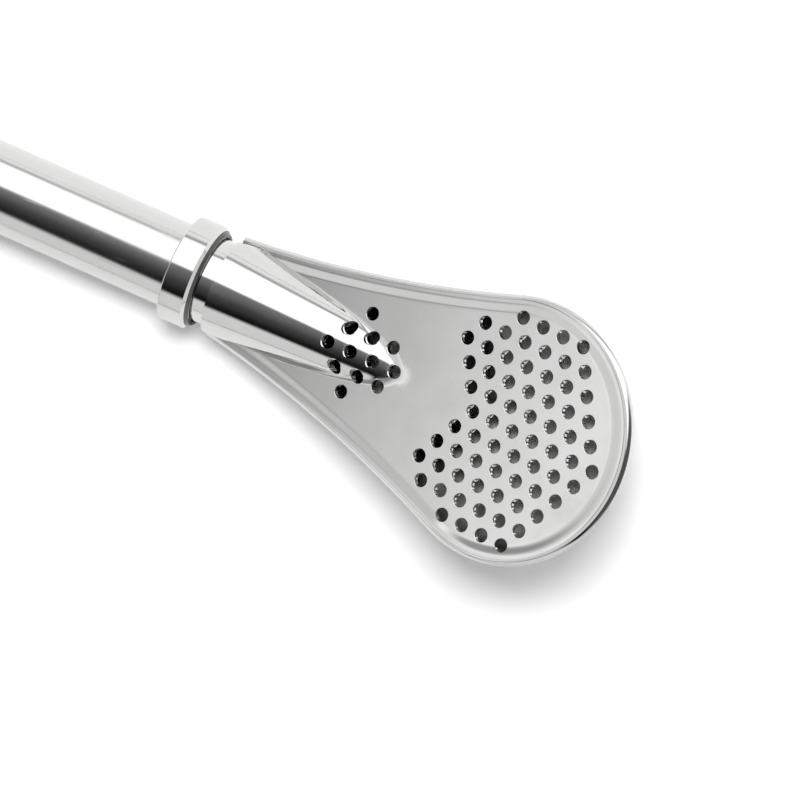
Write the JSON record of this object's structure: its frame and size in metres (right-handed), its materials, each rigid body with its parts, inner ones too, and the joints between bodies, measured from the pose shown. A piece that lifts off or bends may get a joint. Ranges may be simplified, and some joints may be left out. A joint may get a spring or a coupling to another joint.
{
  "type": "bombilla straw",
  "caption": "Metal drinking straw with a flattened mouth end and a bent, perforated spoon filter that screws off at a collar.",
  "frame": {"origin": "centre of the mouth end's opening, on the stem's axis", "axes": "+X along the stem towards the filter, +Z out of the filter's perforated front face, +Y across the filter"},
  "size_m": [0.1847, 0.0236, 0.0182],
  "materials": {
    "steel": "polished stainless steel",
    "silicone": "translucent white, matt"
  },
  "bodies": {
    "stem": {"stem_tube": "steel", "threaded_collar": "steel"},
    "seal": {"sealing_washer": "silicone"},
    "head": {"threaded_nipple": "steel", "front_shell": "steel", "rear_shell": "steel"}
  },
  "joints": [
    {"name": "seal_slide", "type": "slide", "parent": "stem", "child": "seal", "axis": [1, 0, 0], "range_m": [0, 0.00455]},
    {"name": "head_turn", "type": "hinge", "parent": "seal", "child": "head", "pos_m": [0.141, 0, 0], "axis": [1, 0, 0], "range_deg": [0, 2160]}
  ],
  "couplings": [
    {"joint": "seal_slide", "follows": "head_turn", "m_per_rad": 0.00011937}
  ]
}
